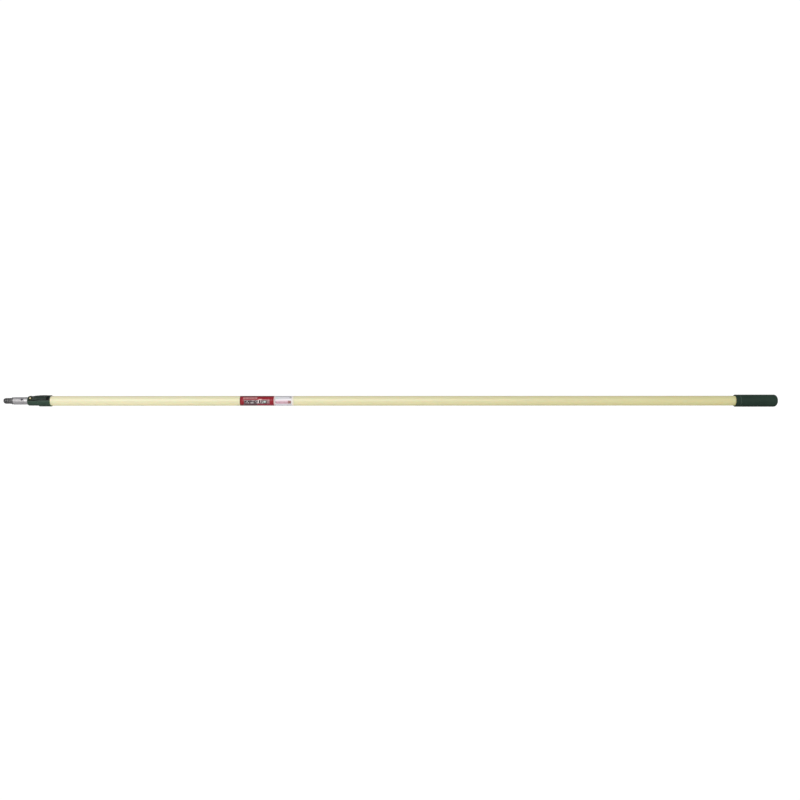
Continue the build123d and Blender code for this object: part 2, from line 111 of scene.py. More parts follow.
class Material:
    """A node material with short ways to add nodes; sizes in millimetres of the row frame."""

    def __init__(self, name):
        self.mat = bpy.data.materials.new(name)
        self.mat.use_nodes = True
        self.tree = self.mat.node_tree
        self.bsdf = self.tree.nodes["Principled BSDF"]
        self.cache = {}

    def node(self, kind, **settings):
        n = self.tree.nodes.new(kind)
        for key, value in settings.items():
            setattr(n, key, value)
        return n

    def put(self, socket, value):
        if isinstance(value, bpy.types.NodeSocket):
            self.tree.links.new(value, socket)
        else:
            socket.default_value = value

    def math(self, op, a, b=0.0, clamp=False):
        n = self.node("ShaderNodeMath", operation=op, use_clamp=clamp)
        for socket, value in zip(n.inputs, (a, b)):
            self.put(socket, value)
        return n.outputs[0]

    def position(self):
        """Where a point is in the row frame at rest, as a vector in millimetres."""
        if "mm" not in self.cache:
            coord = self.node("ShaderNodeTexCoord")
            scale = self.node("ShaderNodeVectorMath", operation="SCALE")
            self.put(scale.inputs[0], coord.outputs["Object"])
            scale.inputs["Scale"].default_value = 1000.0
            self.cache["mm"] = scale.outputs[0]
        return self.cache["mm"]

    def axes(self):
        """The same position as three numbers."""
        if "axes" not in self.cache:
            split = self.node("ShaderNodeSeparateXYZ")
            self.put(split.inputs[0], self.position())
            self.cache["axes"] = tuple(split.outputs)
        return self.cache["axes"]

    def radius(self):
        """Distance from the pole's axis."""
        y, z = self.axes()[1:]
        return self.math("SQRT", self.math("ADD", self.math("MULTIPLY", y, y), self.math("MULTIPLY", z, z)))

    def stretched(self, sx, sy, sz):
        """The position with each axis scaled, for grain that runs along the pole."""
        m = self.node("ShaderNodeVectorMath", operation="MULTIPLY")
        self.put(m.inputs[0], self.position())
        m.inputs[1].default_value = (sx, sy, sz)
        return m.outputs[0]

    def noise(self, per_mm, detail=3.0, rough=0.55, vector=None, distort=0.0):
        """Noise of 0 to 1 with per_mm cells to a millimetre, or to a unit of the vector."""
        n = self.node("ShaderNodeTexNoise")
        self.put(n.inputs["Vector"], vector or self.position())
        n.inputs["Scale"].default_value = per_mm
        n.inputs["Detail"].default_value = detail
        n.inputs["Roughness"].default_value = rough
        n.inputs["Distortion"].default_value = distort
        return n.outputs["Fac"]

    def ramp(self, value, *stops):
        """A value turned into a colour or grey; each stop is a place and a linear colour or grey."""
        n = self.node("ShaderNodeValToRGB")
        elements = n.color_ramp.elements
        while len(elements) < len(stops):
            elements.new(0.5)
        for element, (place, colour) in zip(elements, stops):
            element.position = place
            element.color = (*colour, 1) if isinstance(colour, tuple) else (colour,) * 3 + (1,)
        self.put(n.inputs[0], value)
        return n.outputs[0]

    def mix(self, amount, a, b, blend="MIX"):
        n = self.node("ShaderNodeMix", data_type="RGBA", blend_type=blend)
        self.put(n.inputs[0], amount)
        for socket, value in ((n.inputs[6], a), (n.inputs[7], b)):
            self.put(socket, (*value, 1) if isinstance(value, tuple) else value)
        return n.outputs[2]

    def span(self, value, low, high, edge=0.05):
        """1 between low and high, with soft edges."""
        up = self.math("DIVIDE", self.math("SUBTRACT", value, low), edge, clamp=True)
        down = self.math("DIVIDE", self.math("SUBTRACT", high, value), edge, clamp=True)
        return self.math("MULTIPLY", up, down)

    def worn_edges(self, radius_mm, low, high):
        """1 on convex edges, from the difference of the true and the rounded normal."""
        bevel = self.node("ShaderNodeBevel", samples=4)
        bevel.inputs["Radius"].default_value = radius_mm * MM
        geometry = self.node("ShaderNodeNewGeometry")
        dot = self.node("ShaderNodeVectorMath", operation="DOT_PRODUCT")
        self.put(dot.inputs[0], bevel.outputs[0])
        self.put(dot.inputs[1], geometry.outputs["Normal"])
        bend = self.math("SUBTRACT", 1.0, dot.outputs["Value"])
        return self.math("DIVIDE", self.math("SUBTRACT", bend, low), high - low, clamp=True)

    def bump(self, height, depth_mm, strength, normal=None):
        n = self.node("ShaderNodeBump")
        n.inputs["Strength"].default_value = strength
        n.inputs["Distance"].default_value = depth_mm * MM
        self.put(n.inputs["Height"], height)
        if normal:
            self.put(n.inputs["Normal"], normal)
        return n.outputs[0]

    def rounded(self, radius_mm):
        """Normals that round off the edges."""
        bevel = self.node("ShaderNodeBevel", samples=6)
        bevel.inputs["Radius"].default_value = radius_mm * MM
        return bevel.outputs[0]

    def finish(self, colour, rough, normal=None, **settings):
        """Sets the shader; settings are its other inputs by name, with _ for a space."""
        self.put(self.bsdf.inputs["Base Color"], (*colour, 1) if isinstance(colour, tuple) else colour)
        self.put(self.bsdf.inputs["Roughness"], rough)
        if normal:
            self.put(self.bsdf.inputs["Normal"], normal)
        for key, value in settings.items():
            self.bsdf.inputs[key.replace("_", " ")].default_value = value
        return self.mat


def srgb(r, g, b):
    def linear(v):
        v /= 255.0
        return v / 12.92 if v <= 0.04045 else ((v + 0.055) / 1.055) ** 2.4
    return linear(r), linear(g), linear(b)


# ---------------------------------------------------------------- floor and world

FLOOR_GLOW = 0.17                          # what the floor adds to the light on the object
FLOOR_GLOW_SEEN = 0.4                      # and more of it straight to the camera, for a white ground
FLOOR_HALF = 60.0
FLOOR_DROP = 0.0002                        # how far it lies under the lowest point
HORIZON = (0.46, 0.46, 0.46, 1)
OVERHEAD = (0.50, 0.505, 0.51, 1)
BACKDROP = (1.05, 1.05, 1.05, 1)


def floor_material():
    m = Material("pale_floor")
    cloud = m.noise(0.004, 2.0)
    colour = m.ramp(cloud, (0.3, 0.84), (0.7, 0.88))
    m.bsdf.inputs["Emission Color"].default_value = (1, 1, 1, 1)
    seen = m.node("ShaderNodeLightPath")
    glow = m.math("ADD", FLOOR_GLOW, m.math("MULTIPLY", seen.outputs["Is Camera Ray"], FLOOR_GLOW_SEEN))
    m.put(m.bsdf.inputs["Emission Strength"], glow)
    return m.finish(colour, m.ramp(cloud, (0.3, 0.75), (0.7, 0.9)))


def make_floor():
    bm = bmesh.new()
    bmesh.ops.create_grid(bm, x_segments=12, y_segments=12, size=FLOOR_HALF)
    bmesh.ops.translate(bm, verts=bm.verts, vec=(CENTRE_X, 0, cad_box[0][2] - FLOOR_DROP))
    mesh = bpy.data.meshes.new("floor")
    bm.to_mesh(mesh)
    bm.free()
    floor = bpy.data.objects.new("floor", mesh)
    floor.data.materials.append(floor_material())
    bpy.context.scene.collection.objects.link(floor)


def make_world():
    """White to the camera; to the object a soft grey studio, a little brighter overhead."""
    world = bpy.data.worlds.new("studio")
    bpy.context.scene.world = world
    world.use_nodes = True
    tree = world.node_tree
    background = tree.nodes["Background"]
    coord = tree.nodes.new("ShaderNodeTexCoord")
    split = tree.nodes.new("ShaderNodeSeparateXYZ")
    ramp = tree.nodes.new("ShaderNodeValToRGB")
    low, high = ramp.color_ramp.elements
    low.position, low.color = 0.0, HORIZON
    high.position, high.color = 0.55, OVERHEAD
    seen = tree.nodes.new("ShaderNodeLightPath")
    either = tree.nodes.new("ShaderNodeMix")
    either.data_type = "RGBA"
    either.inputs[7].default_value = BACKDROP
    tree.links.new(coord.outputs["Generated"], split.inputs[0])
    tree.links.new(split.outputs["Z"], ramp.inputs[0])
    tree.links.new(seen.outputs["Is Camera Ray"], either.inputs[0])
    tree.links.new(ramp.outputs[0], either.inputs[6])
    tree.links.new(either.outputs[2], background.inputs["Color"])
    background.inputs["Strength"].default_value = 1.0


make_floor()
make_world()
soft_key("key", azimuth=-12, elevation=16, strength=1.45, spread=40, gloss=0.12, colour=(1.0, 0.99, 0.97))


# ---------------------------------------------------------------- materials

THREAD_START, THREAD_END = -26.0, -4.6     # X in mm
CREST_R = (8.9, 9.27)
ROOT_R = (5.0, 7.6)


def tip_metal():
    """Die-cast grey metal with a matt finish: polished on the thread's crests, dark in its roots."""
    m = Material("cast_tip_metal")
    grain = m.noise(2.2, 4.0, 0.6)
    cloud = m.noise(0.25, 2.0)
    x = m.axes()[0]
    radius = m.radius()
    crest = m.math("MULTIPLY", m.span(radius, *CREST_R, 0.15), m.span(x, THREAD_START, THREAD_END, 0.2))
    base = m.ramp(cloud, (0.3, srgb(82, 82, 84)), (0.7, srgb(104, 104, 105)))
    root = m.math("MULTIPLY", m.span(radius, *ROOT_R, 0.4), m.span(x, THREAD_START, THREAD_END + 0.6, 0.5))
    base = m.mix(m.math("MULTIPLY", root, 0.55), base, srgb(38, 38, 40))
    spots = m.ramp(m.noise(0.9, 4.0, 0.7), (0.58, 0.0), (0.72, 1.0))
    base = m.mix(m.math("MULTIPLY", spots, 0.4), base, srgb(58, 57, 57))
    wear = m.math("MAXIMUM", m.worn_edges(0.35, 0.02, 0.16), m.math("MULTIPLY", crest, 0.6))
    wear = m.math("MULTIPLY", wear, m.ramp(grain, (0.35, 0.25), (0.65, 0.9)))
    colour = m.mix(wear, base, srgb(172, 171, 169))
    rough = m.ramp(grain, (0.3, 0.36), (0.7, 0.56))
    return m.finish(colour, rough, m.bump(grain, 0.04, 0.6, m.rounded(0.18)), Metallic=0.4)


def bare_aluminium(name="drawn_aluminium", dark=(176, 175, 177), light=(202, 200, 202), low_rough=0.38):
    """Drawn tube: long drawing lines, a cloudy oxide and a few smudges."""
    m = Material(name)
    draw = m.noise(1.0, 3.0, 0.6, m.stretched(0.02, 5.0, 5.0))
    fine = m.noise(1.0, 2.0, 0.5, m.stretched(0.12, 16.0, 16.0))
    cloud = m.noise(0.06, 3.0)
    colour = m.ramp(m.math("ADD", m.math("MULTIPLY", draw, 0.6), m.math("MULTIPLY", cloud, 0.4)),
                    (0.3, srgb(*dark)), (0.7, srgb(*light)))
    smudge = m.ramp(m.noise(0.11, 4.0, 0.65), (0.55, 0.0), (0.75, 1.0))
    colour = m.mix(m.math("MULTIPLY", smudge, 0.18), colour, srgb(132, 130, 130))
    rough = m.ramp(fine, (0.3, low_rough), (0.7, low_rough + 0.16))
    rough = m.math("ADD", rough, m.math("MULTIPLY", smudge, 0.12))
    height = m.math("ADD", m.math("MULTIPLY", draw, 0.6), m.math("MULTIPLY", fine, 0.4))
    return m.finish(colour, rough, m.bump(height, 0.02, 0.5, m.rounded(0.2)), Metallic=1.0, Anisotropic=0.3)


def spring_steel(name="spring_steel", dark=(92, 93, 96), light=(150, 151, 154)):
    """Brushed steel with bright worn edges."""
    m = Material(name)
    brush = m.noise(1.0, 3.0, 0.6, m.stretched(0.4, 9.0, 9.0))
    cloud = m.noise(0.5, 2.0)
    wear = m.worn_edges(0.2, 0.03, 0.2)
    colour = m.mix(m.math("MULTIPLY", wear, 0.6), m.ramp(cloud, (0.3, srgb(*dark)), (0.7, srgb(*light))),
                   srgb(205, 205, 205))
    rough = m.ramp(brush, (0.3, 0.22), (0.7, 0.42))
    return m.finish(colour, rough, m.bump(brush, 0.015, 0.5, m.rounded(0.12)), Metallic=1.0)


def yellow_zinc():
    """Zinc plate with a yellow passivation that changes tint from place to place."""
    m = Material("yellow_zinc_steel")
    cloud = m.noise(0.7, 3.0, 0.6)
    tint = m.noise(0.35, 2.0)
    colour = m.mix(tint, srgb(214, 196, 140), srgb(188, 190, 176))
    colour = m.mix(m.math("MULTIPLY", m.worn_edges(0.25, 0.03, 0.2), 0.5), colour, srgb(226, 224, 214))
    rough = m.ramp(cloud, (0.3, 0.28), (0.7, 0.45))
    return m.finish(colour, rough, m.bump(cloud, 0.02, 0.5, m.rounded(0.15)), Metallic=0.9)


HOUSING_MOUTH = 54.5                       # X in mm where the painted shade inside the housing begins
COLLAR_FROM = 88.0                         # X in mm where the housing widens to its collar
COLLAR_WIDER = 2.4
# colour of the painted shade on the walls inside the housing
PAINTED_SHADE_COLOUR = (7, 10, 9)


def moulded(name, dark, light, edge, low_rough, high_rough, per_mm=3.2, depth=0.03, round_mm=0.45,
            edge_amount=0.55, specular=0.5, painted_shade_radius=None):
    """Moulded plastic or rubber: spark texture, faint flow clouds, scuffs and paler worn edges.

    The last argument is a radius in mm for painted shade: behind the housing's mouth, the walls inside it
    are painted dark as shade and made less glossy.
    """
    m = Material(name)
    spark = m.noise(per_mm, 4.0, 0.6)
    cloud = m.noise(0.09, 3.0, 0.6, m.stretched(0.6, 1.0, 1.0))
    base = m.ramp(cloud, (0.3, srgb(*dark)), (0.7, srgb(*light)))
    scuffs = m.ramp(m.noise(1.0, 3.0, 0.7, m.stretched(0.10, 1.2, 1.2)), (0.63, 0.0), (0.76, 1.0))
    base = m.mix(m.math("MULTIPLY", scuffs, 0.14), base, srgb(*edge))
    wear = m.math("MULTIPLY", m.worn_edges(0.5, 0.02, 0.2), m.ramp(spark, (0.35, 0.3), (0.65, 1.0)))
    colour = m.mix(m.math("MULTIPLY", wear, edge_amount), base, srgb(*edge))
    m.bsdf.inputs["Specular IOR Level"].default_value = specular
    # painted shade: inside the housing, behind its mouth, the walls are darkened and their gloss lowered
    # where shade falls
    if painted_shade_radius:
        x = m.axes()[0]
        wider = m.math("MULTIPLY", m.math("GREATER_THAN", x, COLLAR_FROM), COLLAR_WIDER)
        reach = m.math("ADD", painted_shade_radius, wider)
        inside = m.math("DIVIDE", m.math("SUBTRACT", reach, m.radius()), 0.4, clamp=True)
        inside = m.math("MULTIPLY", inside, m.math("GREATER_THAN", x, HOUSING_MOUTH))
        painted_shade_amount = m.math("MULTIPLY", inside, m.ramp(cloud, (0.3, 0.8), (0.7, 0.95)))
        colour = m.mix(painted_shade_amount, colour, srgb(*PAINTED_SHADE_COLOUR))
        m.put(m.bsdf.inputs["Specular IOR Level"],
              m.math("MULTIPLY", m.math("SUBTRACT", 1.0, m.math("MULTIPLY", inside, 0.9)), specular))
    rough = m.ramp(spark, (0.3, low_rough), (0.7, high_rough))
    rough = m.math("ADD", rough, m.math("MULTIPLY", scuffs, 0.08))
    return m.finish(colour, rough, m.bump(spark, depth, 0.5, m.rounded(round_mm)))


PALE_UNTIL = 350.0                         # X in mm where the painted light on the fibreglass starts to fade
LIGHT_FADE_LENGTH = 1930.0                         # and the length over which it does


def fibreglass():
    """Pultruded tube: long glass rovings under a glossy surface veil, with painted light that makes it paler
    at the tip's end.
    """
    m = Material("cream_fibreglass")
    along = m.math("DIVIDE", m.math("SUBTRACT", m.axes()[0], PALE_UNTIL), LIGHT_FADE_LENGTH, clamp=True)
    rovings = m.noise(1.0, 4.0, 0.62, m.stretched(0.006, 1.7, 1.7), 0.15)
    threads = m.noise(1.0, 3.0, 0.6, m.stretched(0.02, 6.0, 6.0), 0.1)
    veil = m.noise(0.5, 4.0, 0.7, m.stretched(0.5, 1.0, 1.0))
    cloud = m.noise(0.004, 3.0, 0.5, m.stretched(1.0, 12.0, 12.0))
    # painted light: paler and whiter towards the tip's end, darker and yellower towards the grip
    base = m.mix(along, srgb(238, 233, 197), srgb(213, 207, 154))
    base = m.mix(m.ramp(rovings, (0.30, 0.0), (0.72, 1.0)), m.mix(1.0, base, (0.94, 0.93, 0.89), "MULTIPLY"),
                 m.mix(1.0, base, (1.04, 1.05, 1.08), "MULTIPLY"))
    base = m.mix(m.math("MULTIPLY", m.ramp(threads, (0.55, 0.0), (0.75, 1.0)), 0.22),
                 base, srgb(246, 241, 214))
    base = m.mix(m.math("MULTIPLY", m.ramp(veil, (0.52, 0.0), (0.8, 1.0)), 0.14),
                 base, srgb(214, 204, 152))
    base = m.mix(m.math("MULTIPLY", m.ramp(cloud, (0.35, 0.0), (0.7, 1.0)), 0.2), base,
                 m.mix(1.0, base, (0.92, 0.91, 0.86), "MULTIPLY"))
    scuffs = m.ramp(m.noise(1.0, 4.0, 0.75, m.stretched(0.015, 0.9, 0.9)), (0.66, 0.0), (0.78, 1.0))
    colour = m.mix(m.math("MULTIPLY", scuffs, 0.12), base, srgb(196, 190, 160))
    rough = m.math("ADD", m.ramp(threads, (0.3, 0.3), (0.7, 0.42)), m.math("MULTIPLY", scuffs, 0.2))
    height = m.math("ADD", m.math("MULTIPLY", rovings, 0.6), m.math("MULTIPLY", threads, 0.4))
    return m.finish(colour, rough, m.bump(height, 0.05, 0.45, m.rounded(0.3)),
                    Subsurface_Weight=0.12, Subsurface_Scale=0.002, Coat_Weight=0.2, Coat_Roughness=0.22)


def dipped_vinyl(groove_x, groove_width):
    """Soft green vinyl with a painted highlight in its ring groove, rubbed paler where a hand and the floor
    touch it.
    """
    m = Material("green_dipped_vinyl")
    x = m.axes()[0]
    skin = m.math("ADD", m.math("MULTIPLY", m.noise(0.55, 2.0), 0.6),
                  m.math("MULTIPLY", m.noise(1.6, 4.0, 0.62), 0.4))
    cloud = m.noise(0.05, 3.0, 0.6, m.stretched(0.5, 1.0, 1.0))
    base = m.ramp(cloud, (0.3, srgb(27, 46, 37)), (0.7, srgb(35, 55, 45)))
    # painted highlight: a paler ring along the groove, where its edge catches the light
    groove_highlight = m.math("MULTIPLY", m.span(x, groove_x - 0.3, groove_x + groove_width + 0.3, 0.4),
                  m.ramp(m.noise(0.35, 3.0), (0.3, 0.55), (0.7, 1.0)))
    base = m.mix(m.math("MULTIPLY", groove_highlight, 0.34), base, srgb(104, 122, 110))
    scuffs = m.ramp(m.noise(1.0, 4.0, 0.72, m.stretched(0.14, 0.9, 0.9)), (0.62, 0.0), (0.78, 1.0))
    base = m.mix(m.math("MULTIPLY", scuffs, 0.16), base, srgb(78, 94, 84))
    wear = m.math("MULTIPLY", m.worn_edges(0.7, 0.02, 0.2), m.ramp(skin, (0.35, 0.2), (0.65, 1.0)))
    colour = m.mix(m.math("MULTIPLY", wear, 0.3), base, srgb(84, 98, 88))
    rough = m.math("ADD", m.ramp(skin, (0.3, 0.5), (0.7, 0.66)), m.math("MULTIPLY", groove_highlight, 0.1))
    return m.finish(colour, rough, m.bump(skin, 0.16, 0.6, m.rounded(0.5)), Specular_IOR_Level=0.2)


def white_acetal():
    """Waxy white plastic, slightly mottled."""
    m = Material("white_acetal")
    cloud = m.noise(0.2, 3.0)
    fine = m.noise(3.0, 3.0)
    tone = (228, 226, 216)
    low = tuple(v * 0.86 for v in tone)
    colour = m.ramp(cloud, (0.3, srgb(*low)), (0.7, srgb(*tone)))
    return m.finish(colour, m.ramp(fine, (0.3, 0.32), (0.7, 0.5)), m.bump(fine, 0.02, 0.4, m.rounded(0.3)))


GRIP_GROOVE_X = 2293.0
GRIP_GROOVE_WIDTH = 2.0
# radius in mm inside which the housing's walls get painted shade
HOUSING_PAINTED_SHADE_R = 14.6

LOOKS = {
    "tip_metal": tip_metal(),
    "bare_aluminium": bare_aluminium(),
    "spring_steel": spring_steel(),
    "button_steel": spring_steel("blued_button_steel", (82, 80, 87), (120, 118, 126)),
    "acetal": white_acetal(),
    "black_rubber": moulded("black_rubber", (10, 11, 11), (17, 18, 17), (40, 41, 40), 0.55, 0.75, depth=0.04,
                            round_mm=0.3, edge_amount=0.3, specular=0.15),
    "green_nylon": moulded("green_glass_nylon", (35, 60, 46), (45, 72, 57), (98, 116, 102), 0.38, 0.52,
                           depth=0.025, edge_amount=0.45, specular=0.42, painted_shade_radius=HOUSING_PAINTED_SHADE_R),
    "olive_nylon": moulded("olive_nylon", (34, 34, 20), (50, 48, 30), (96, 92, 66), 0.42, 0.58, round_mm=0.2,
                           specular=0.2),
    "yellow_zinc": yellow_zinc(),
    "cream_fibreglass": fibreglass(),
    "foam": moulded("grey_foam", (60, 60, 60), (84, 84, 84), (100, 100, 100), 0.8, 0.95,
                    per_mm=1.5, depth=0.2),
    "green_vinyl": dipped_vinyl(GRIP_GROOVE_X, GRIP_GROOVE_WIDTH),
    "red_film": moulded("red_film", (150, 24, 40), (168, 30, 48), (190, 60, 70), 0.25, 0.35),
    "white_film": moulded("white_film", (225, 222, 216), (236, 234, 230), (240, 240, 240), 0.25, 0.35),
}

# pieces that look different from the rest of their slot
SPECIAL_LOOKS = {
    "lock_lever": moulded("green_lever_nylon", (21, 35, 28), (29, 46, 37), (92, 110, 96), 0.34, 0.48,
                          depth=0.025, edge_amount=0.4, specular=0.36),
    "tip_ferrule": bare_aluminium("satin_ferrule", (176, 174, 176), (196, 194, 196), 0.5),
    "ferrule_rivets": spring_steel("dark_rivet", (70, 70, 74), (104, 104, 108)),
}
SLOT_OF = {part["node"]: part["material_slot"] for part in frame["record"]["subparts"]}
for node_name, node in NODES.items():
    node.data.materials.clear()
    node.data.materials.append(SPECIAL_LOOKS.get(node_name) or LOOKS[SLOT_OF[node_name]])


# ---------------------------------------------------------------- printed labels

def wrapped(m, radius):
    """Millimetres along the pole, and round it from the side facing -Y, up being positive."""
    x, y, z = m.axes()
    around = m.math("ARCTAN2", z, m.math("MULTIPLY", y, -1.0))
    return x, m.math("MULTIPLY", around, radius)


def patch(m, x, v, x0, x1, v0, v1, soft=0.12):
    """A rectangle on the film, 1 inside and with edges that are soft by that many millimetres."""
    return m.math("MULTIPLY", m.span(x, x0, x1, soft), m.span(v, v0, v1, soft))


def paint(m, colour, mask, tone, amount=1.0):
    """Prints a tone over a colour where the mask is 1."""
    return m.mix(m.math("MULTIPLY", mask, amount) if amount < 1 else mask, colour, srgb(*tone))


def cells(m, x, v, width, pitch, seed):
    """A random grey for each cell of a grid, and where in its cell a point lies."""
    column = m.math("FLOOR", m.math("DIVIDE", x, width))
    row = m.math("FLOOR", m.math("DIVIDE", v, pitch))
    joined = m.node("ShaderNodeCombineXYZ")
    for socket, value in zip(joined.inputs, (column, row, seed)):
        m.put(socket, value)
    white = m.node("ShaderNodeTexWhiteNoise")
    m.put(white.inputs["Vector"], joined.outputs[0])
    return white.outputs["Value"], m.math("FRACT", m.math("DIVIDE", v, pitch))


def dashes(m, x, v, box, width, pitch, seed, fill=0.55):
    """Lines of blank dashes in place of small print."""
    value, place = cells(m, x, v, width, pitch, seed)
    line = m.span(place, 0.22, 0.74, 0.06)
    return m.math("MULTIPLY", m.math("MULTIPLY", patch(m, x, v, *box), line),
                  m.math("LESS_THAN", value, fill))


def print_finish(m, colour):
    """Faded and rubbed ink under a thin clear film."""
    fade = m.noise(0.05, 3.0)
    colour = m.mix(m.math("MULTIPLY", fade, 0.16), colour, m.mix(1.0, colour, (1.12, 1.1, 1.08), "MULTIPLY"))
    rub = m.ramp(m.noise(1.0, 4.0, 0.75, m.stretched(0.08, 0.9, 0.9)), (0.68, 0.0), (0.8, 1.0))
    colour = m.mix(m.math("MULTIPLY", rub, 0.25), colour, srgb(214, 200, 190))
    fine = m.noise(1.2, 3.0)
    return m.finish(colour, m.ramp(fine, (0.3, 0.26), (0.7, 0.4)), m.bump(fine, 0.02, 0.35),
                    Specular_IOR_Level=0.25, Coat_Weight=0.12, Coat_Roughness=0.14)


ALL_ROUND = (-60.0, 60.0)


def red_label_material(x0, radius):
    """Label with its panel of blank marks; a and v are mm from its left edge and up round the tube."""
    m = Material("printed_red_label")
    x, v = wrapped(m, radius)
    a = m.math("SUBTRACT", x, x0)
    cloud = m.noise(0.12, 3.0)
    colour = m.mix(cloud, srgb(140, 18, 33), srgb(156, 30, 45))
    # darker top and bottom bands of the front panel
    colour = paint(m, colour, patch(m, a, v, 1.0, 106.0, 13.2, 24.0, 0.6), (96, 26, 30), 0.8)
    top_line = dashes(m, a, v, (12.0, 55.0, 13.6, 18.0), 4.1, 4.4, 2.0, 0.75)
    colour = paint(m, colour, top_line, (34, 20, 22), 0.8)
    colour = paint(m, colour, patch(m, a, v, 1.0, 106.0, -24.0, -12.2, 0.6), (98, 30, 38), 0.6)
    # pale title bar with a blank line in it
    colour = paint(m, colour, patch(m, a, v, 10.0, 55.0, 5.6, 12.4), (184, 124, 125))
    colour = paint(m, colour, dashes(m, a, v, (11.5, 53.0, 6.2, 9.6), 3.3, 3.4, 3.0, 0.6), (134, 76, 80))
    # pale patch of two tones beside the title
    colour = paint(m, colour, patch(m, a, v, 58.5, 70.0, 2.2, 6.4), (206, 140, 138))
    colour = paint(m, colour, patch(m, a, v, 61.0, 67.5, 3.0, 5.4), (222, 184, 178))
    colour = paint(m, colour, patch(m, a, v, 70.5, 94.0, 1.2, 4.2), (206, 140, 146), 0.8)
    # grey panel with light and dark blocks
    colour = paint(m, colour, patch(m, a, v, 13.0, 94.0, -9.9, 2.4), (120, 98, 102))
    value, place = cells(m, a, v, 3.1, 4.4, 7.0)
    inner = patch(m, a, v, 15.5, 84.5, -8.6, 1.8)
    blocks = m.math("MULTIPLY", inner, m.span(place, 0.14, 0.86, 0.05))
    tone = m.ramp(value, (0.0, srgb(26, 22, 26)), (0.35, srgb(66, 60, 62)), (0.62, srgb(134, 122, 128)),
                  (0.9, srgb(206, 206, 206)))
    colour = m.mix(blocks, colour, tone)
    # roller pictogram: upright bars for its sleeve and frame, and a pale handle
    colour = paint(m, colour, patch(m, a, v, 56.8, 60.0, -6.4, 2.4), (238, 226, 226))
    colour = paint(m, colour, patch(m, a, v, 60.6, 64.4, -7.4, 2.4), (16, 12, 16))
    colour = paint(m, colour, patch(m, a, v, 64.8, 67.0, -6.4, 1.6), (214, 196, 200))
    colour = paint(m, colour, patch(m, a, v, 67.4, 69.8, -6.4, 1.6), (24, 18, 22))
    colour = paint(m, colour, patch(m, a, v, 75.0, 81.5, -5.6, -0.6), (196, 224, 214))
    colour = paint(m, colour, dashes(m, a, v, (85.5, 93.0, -8.8, 2.4), 2.6, 2.8, 4.0, 0.7), (196, 150, 152))
    # bands under the panel, and the strips at both ends
    colour = paint(m, colour, patch(m, a, v, 12.0, 54.0, -13.4, -9.9), (62, 54, 56), 0.9)
    colour = paint(m, colour, patch(m, a, v, 10.0, 53.0, -17.4, -14.2), (140, 136, 138), 0.85)
    colour = paint(m, colour, patch(m, a, v, 54.0, 104.0, -17.8, -14.6), (214, 140, 150), 0.85)
    colour = paint(m, colour, patch(m, a, v, 0.0, 1.4, *ALL_ROUND), (112, 16, 26))
    colour = paint(m, colour, patch(m, a, v, 106.4, 120.0, *ALL_ROUND), (242, 214, 210))
    # small print on the back
    for v0, v1, seed in ((28.0, 44.0, 11.0), (-44.0, -28.0, 17.0)):
        small_print = dashes(m, a, v, (8.0, 98.0, v0, v1), 2.6, 2.4, seed)
        colour = paint(m, colour, small_print, (226, 190, 190), 0.8)
    return print_finish(m, colour)


def white_label_material(x0, radius):
    m = Material("printed_white_label")
    x, v = wrapped(m, radius)
    a = m.math("SUBTRACT", x, x0)
    cloud = m.noise(0.1, 3.0)
    colour = m.mix(cloud, srgb(213, 213, 219), srgb(224, 222, 226))
    # grey band above, pale green spot and bright band
    colour = paint(m, colour, patch(m, a, v, 2.6, 52.0, 13.4, 19.0, 0.8), (176, 176, 178), 0.8)
    colour = paint(m, colour, patch(m, a, v, 3.6, 12.0, 4.6, 12.6, 1.6), (196, 216, 210), 0.7)
    colour = paint(m, colour, patch(m, a, v, 2.6, 53.0, 1.4, 5.6, 1.2), (244, 238, 243), 0.8)
    # rose band with grey marks
    colour = paint(m, colour, patch(m, a, v, 2.8, 46.0, -1.8, 1.6, 1.2), (240, 206, 218))
    colour = paint(m, colour, patch(m, a, v, 2.4, 46.0, -9.8, -1.6, 0.5), (212, 170, 184))
    grey_marks = dashes(m, a, v, (5.0, 44.0, -8.8, -2.6), 3.4, 2.1, 5.0, 0.42)
    colour = paint(m, colour, grey_marks, (172, 156, 160), 0.9)
    colour = paint(m, colour, patch(m, a, v, 2.6, 5.4, -6.4, -1.8), (158, 112, 124))
    # dark block near the end, grey spot and pale edge
    colour = paint(m, colour, patch(m, a, v, 41.6, 51.6, -9.2, 0.4, 0.3), (158, 112, 108))
    colour = paint(m, colour, patch(m, a, v, 47.0, 51.6, -9.2, -5.6, 0.3), (128, 84, 80))
    colour = paint(m, colour, patch(m, a, v, 46.0, 54.0, 8.0, 13.6, 0.8), (150, 146, 146), 0.7)
    colour = paint(m, colour, patch(m, a, v, 53.6, 70.0, *ALL_ROUND), (246, 238, 226))
    # small print on the back
    for v0, v1, seed in ((24.0, 44.0, 23.0), (-44.0, -16.0, 29.0)):
        small_print = dashes(m, a, v, (6.0, 52.0, v0, v1), 2.4, 2.3, seed)
        colour = paint(m, colour, small_print, (120, 116, 122), 0.8)
    return print_finish(m, colour)


# ---------------------------------------------------------------- pieces

OUTER_BORE = 13.2
INNER_WALL = 1.5
LOCK_HOLE_X = 84.0
LOCK_HOLE_R = 3.25
LOCK_HOLES = 15
HOLE_STEP = 152.4                          # six inches
RIVET_X = 45.8
RIVET_ANGLES = (64.0, 244.0)               # degrees above the -Y side
RIVET_HOLES = ((9.0, 11.2, 1.3, 1.3), (11.05, 12.25, 1.3, 2.5))  # bottom, top and their radii: shank, sink
GROOVE_WIDTH = 4
GROOVE_DEPTH = 0.6
FILM = 0.06
LAP = 9.0                                  # degrees by which a label's last edge covers its first


